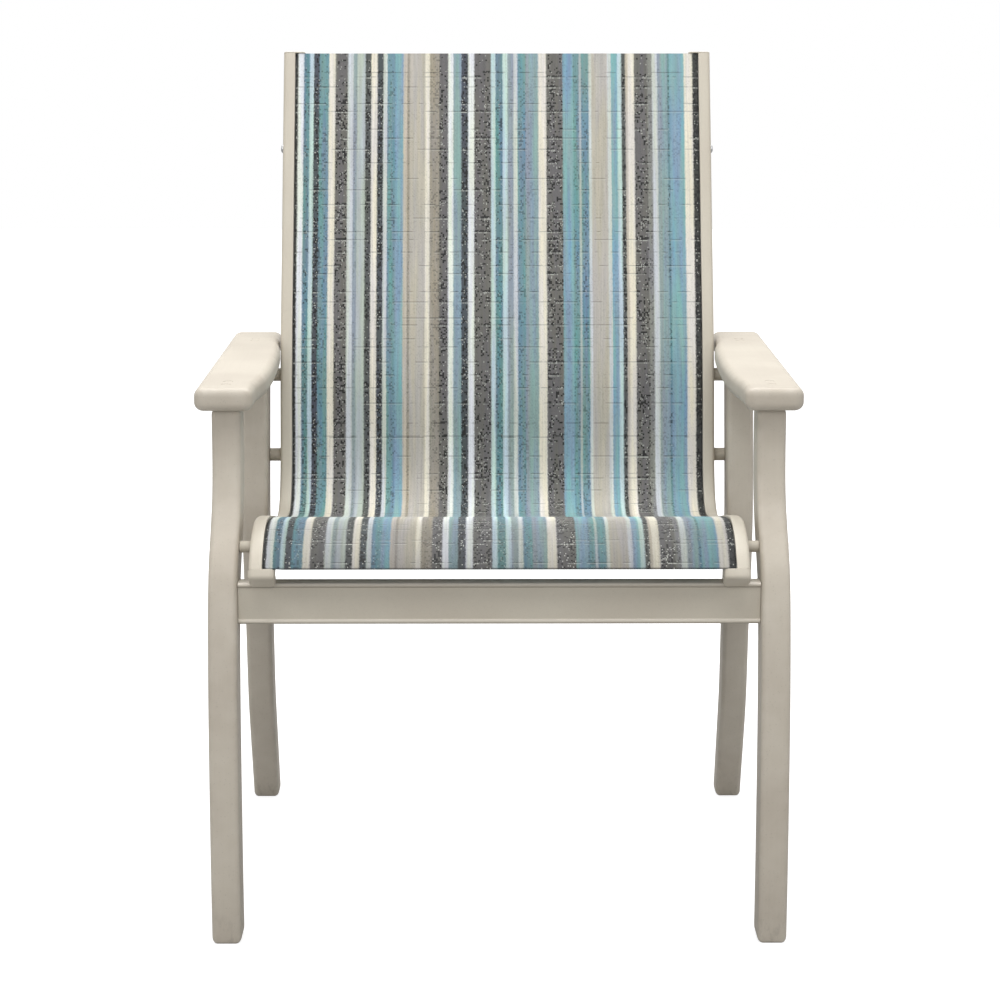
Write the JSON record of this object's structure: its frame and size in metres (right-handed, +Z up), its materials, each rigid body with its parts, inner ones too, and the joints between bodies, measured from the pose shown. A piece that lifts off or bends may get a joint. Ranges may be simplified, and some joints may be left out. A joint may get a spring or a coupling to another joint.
{
  "type": "sling patio chair",
  "caption": "Stationary sling patio armchair with curved board legs, flat rounded arms and a striped woven sling stretched between bent rails.",
  "frame": {"origin": "on the floor under the middle of the chair's bounding box, level with the undersides of the feet", "axes": "+Z up; the sitter faces -Y; +X is towards the right of someone who looks at the chair from the front"},
  "size_m": [0.66, 0.6814, 0.9462],
  "materials": {
    "board": "solid polymer board, fine matt skin, warm beige",
    "coated_metal": "aluminium extrusion, textured powder coat, warm beige",
    "trim": "moulded plastic, matt, warm beige",
    "hardware": "stainless steel, plain",
    "sling_fabric": "woven coated yarn, striped teal, aqua, grey, beige and cream",
    "spline": "solid plastic rod"
  },
  "bodies": {
    "root": {"back_spreader": "coated_metal", "front_beam": "coated_metal", "left_arm": "board", "left_arm_screw_1": "hardware", "left_arm_screw_2": "hardware", "left_arm_screw_3": "hardware", "left_arm_screw_4": "hardware", "left_back_spreader_screw": "hardware", "left_front_beam_bolt_1": "hardware", "left_front_beam_bolt_2": "hardware", "left_front_cap_nut": "hardware", "left_front_leg": "board", "left_front_rail_bolt": "hardware", "left_front_spacer": "trim", "left_lower_back_cap_nut": "hardware", "left_lower_back_rail_bolt": "hardware", "left_lower_back_spacer": "trim", "left_rail_front_cap": "trim", "left_rail_top_cap": "trim", "left_rear_beam_bolt_1": "hardware", "left_rear_beam_bolt_2": "hardware", "left_rear_leg": "board", "left_seat_spreader_screw": "hardware", "left_sling_rail": "coated_metal", "left_spline_rod": "spline", "left_upper_back_cap_nut": "hardware", "left_upper_back_rail_bolt": "hardware", "left_upper_back_spacer": "trim", "rear_beam": "coated_metal", "right_arm": "board", "right_arm_screw_1": "hardware", "right_arm_screw_2": "hardware", "right_arm_screw_3": "hardware", "right_arm_screw_4": "hardware", "right_back_spreader_screw": "hardware", "right_front_beam_bolt_1": "hardware", "right_front_beam_bolt_2": "hardware", "right_front_cap_nut": "hardware", "right_front_leg": "board", "right_front_rail_bolt": "hardware", "right_front_spacer": "trim", "right_lower_back_cap_nut": "hardware", "right_lower_back_rail_bolt": "hardware", "right_lower_back_spacer": "trim", "right_rail_front_cap": "trim", "right_rail_top_cap": "trim", "right_rear_beam_bolt_1": "hardware", "right_rear_beam_bolt_2": "hardware", "right_rear_leg": "board", "right_seat_spreader_screw": "hardware", "right_sling_rail": "coated_metal", "right_spline_rod": "spline", "right_upper_back_cap_nut": "hardware", "right_upper_back_rail_bolt": "hardware", "right_upper_back_spacer": "trim", "seat_spreader": "coated_metal", "sling": "sling_fabric"}
  },
  "joints": []
}
